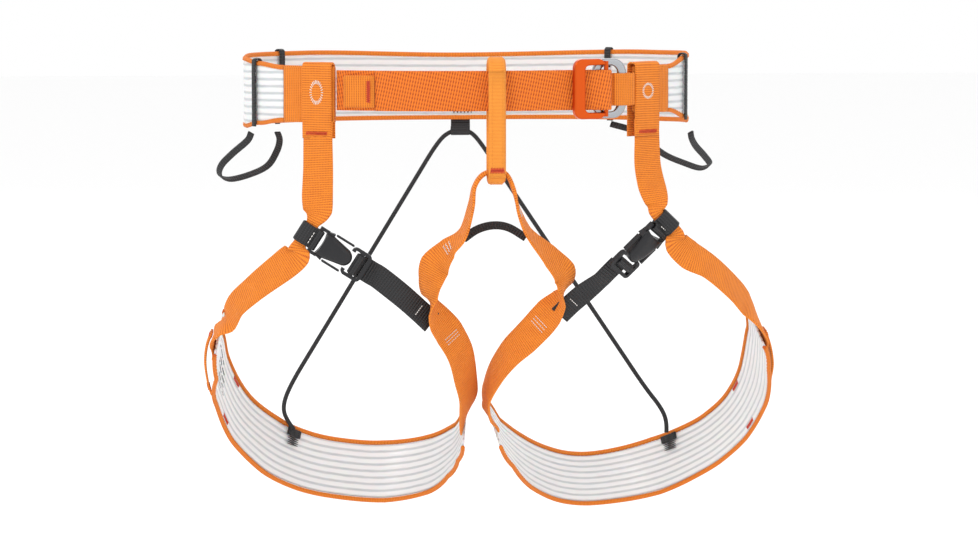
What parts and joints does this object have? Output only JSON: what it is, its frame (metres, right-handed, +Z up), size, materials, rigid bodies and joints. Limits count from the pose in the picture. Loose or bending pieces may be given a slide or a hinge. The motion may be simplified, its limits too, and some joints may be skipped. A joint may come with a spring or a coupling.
{
  "type": "climbing harness",
  "caption": "Light sit harness: waist belt with metal buckle, leg bands on webbing risers with plastic side buckles, central tie-in loop, gear loops and a rear elastic cord.",
  "frame": {"origin": "centre of the opening inside the waist belt, at the middle of the belt's height", "axes": "+X to the wearer's left, +Y to the wearer's back, +Z up along the wearer's spine"},
  "size_m": [0.38, 0.196, 0.316],
  "materials": {
    "laminate": "translucent ribbed laminate",
    "binding": "woven binding tape",
    "orange_webbing": "plain woven webbing",
    "black_webbing": "ribbed woven webbing",
    "black_cord": "braided elastic cord",
    "orange_anodised": "satin anodised",
    "silver_metal": "brushed",
    "buckle_plastic": "fine moulded texture"
  },
  "bodies": {
    "waist": {"waist_belt_panel": "laminate", "waist_belt_edging_top": "binding", "waist_belt_edging_bottom": "binding", "belt_end_cover_right": "orange_webbing", "belt_end_cover_left": "orange_webbing", "waist_strap": "orange_webbing", "strap_end_stop": "orange_webbing", "buckle_ring": "silver_metal", "buckle_anchor_web": "orange_webbing", "riser_fold_right": "orange_webbing", "riser_fold_left": "orange_webbing", "gear_tab_front_right": "black_webbing", "gear_tab_rear_right": "black_webbing", "gear_tab_front_left": "black_webbing", "gear_tab_rear_left": "black_webbing", "rear_cord_tab": "black_webbing", "rear_cord": "black_cord"},
    "slider": {"buckle_slider": "orange_anodised"},
    "leg_loops": {"leg_tie_strap": "orange_webbing", "leg_spacer_elastic": "black_webbing", "riser_strap_right": "orange_webbing", "buckle_loop_right": "black_webbing", "leg_buckle_socket_right": "buckle_plastic", "leg_strap_right": "black_webbing", "leg_band_right": "laminate", "leg_edging_upper_right": "binding", "leg_edging_lower_right": "binding", "side_tab_right": "orange_webbing", "cord_anchor_right": "black_webbing", "riser_strap_left": "orange_webbing", "buckle_loop_left": "black_webbing", "leg_buckle_socket_left": "buckle_plastic", "leg_strap_left": "black_webbing", "leg_band_left": "laminate", "leg_edging_upper_left": "binding", "leg_edging_lower_left": "binding", "side_tab_left": "orange_webbing", "cord_anchor_left": "black_webbing"},
    "belay": {"belay_loop": "orange_webbing"},
    "gear_loop_right": {"gear_loop_right": "black_webbing"},
    "gear_loop_left": {"gear_loop_left": "black_webbing"},
    "plug_right": {"leg_buckle_plug_right": "buckle_plastic", "strap_wrap_right": "black_webbing"},
    "arm_upper_right": {"leg_buckle_arm_upper_right": "buckle_plastic"},
    "arm_lower_right": {"leg_buckle_arm_lower_right": "buckle_plastic"},
    "plug_left": {"leg_buckle_plug_left": "buckle_plastic", "strap_wrap_left": "black_webbing"},
    "arm_upper_left": {"leg_buckle_arm_upper_left": "buckle_plastic"},
    "arm_lower_left": {"leg_buckle_arm_lower_left": "buckle_plastic"}
  },
  "joints": [
    {"name": "slider_tilt", "type": "hinge", "parent": "waist", "child": "slider", "pos_m": [0.07749, -0.07752, 0], "axis": [0, 0, 1], "range_deg": [0, 25], "stiffness_Nm_per_rad": 0.02},
    {"name": "leg_loops_swing", "type": "hinge", "parent": "waist", "child": "leg_loops", "pos_m": [0, -0.065, -0.027], "axis": [1, 0, 0], "range_deg": [-20, 0], "stiffness_Nm_per_rad": 0.3, "springref_deg": 28.65, "deforming": ["rear_cord"]},
    {"name": "belay_loop_swing", "type": "hinge", "parent": "waist", "child": "belay", "pos_m": [0.0051, -0.0868, 0.005], "axis": [1, 0, 0], "range_deg": [-7.5, 0.5]},
    {"name": "gear_loop_right_swing", "type": "hinge", "parent": "waist", "child": "gear_loop_right", "pos_m": [-0.1407, 0.01115, -0.02675], "axis": [0.2537, 0.9658, -0.054], "range_deg": [-12, 55]},
    {"name": "gear_loop_left_swing", "type": "hinge", "parent": "waist", "child": "gear_loop_left", "pos_m": [0.1185, 0.0214, -0.0257], "axis": [0.4342, -0.9008, -0.0061], "range_deg": [-12, 55]},
    {"name": "plug_right_slide", "type": "slide", "parent": "leg_loops", "child": "plug_right", "axis": [0.8451, 0.0403, -0.5331], "range_m": [0, 0.014]},
    {"name": "arm_upper_right_pinch", "type": "hinge", "parent": "plug_right", "child": "arm_upper_right", "pos_m": [-0.08615, -0.07711, -0.09566], "axis": [0.003, -0.9975, -0.0705], "range_deg": [0, 4], "stiffness_Nm_per_rad": 0.05},
    {"name": "arm_lower_right_pinch", "type": "hinge", "parent": "plug_right", "child": "arm_lower_right", "pos_m": [-0.0963, -0.07601, -0.11168], "axis": [-0.003, 0.9975, 0.0705], "range_deg": [0, 4], "stiffness_Nm_per_rad": 0.05},
    {"name": "plug_left_slide", "type": "slide", "parent": "leg_loops", "child": "plug_left", "axis": [-0.7003, 0.1003, -0.7068], "range_m": [0, 0.014]},
    {"name": "arm_upper_left_pinch", "type": "hinge", "parent": "plug_left", "child": "arm_upper_left", "pos_m": [0.10088, -0.06991, -0.10834], "axis": [0.3754, -0.7904, -0.4841], "range_deg": [0, 4], "stiffness_Nm_per_rad": 0.05},
    {"name": "arm_lower_left_pinch", "type": "hinge", "parent": "plug_left", "child": "arm_lower_left", "pos_m": [0.08934, -0.08139, -0.09854], "axis": [-0.3754, 0.7904, 0.4841], "range_deg": [0, 4], "stiffness_Nm_per_rad": 0.05}
  ],
  "couplings": [
    {"joint": "belay_loop_swing", "follows": "leg_loops_swing", "ratio": 0.35}
  ]
}
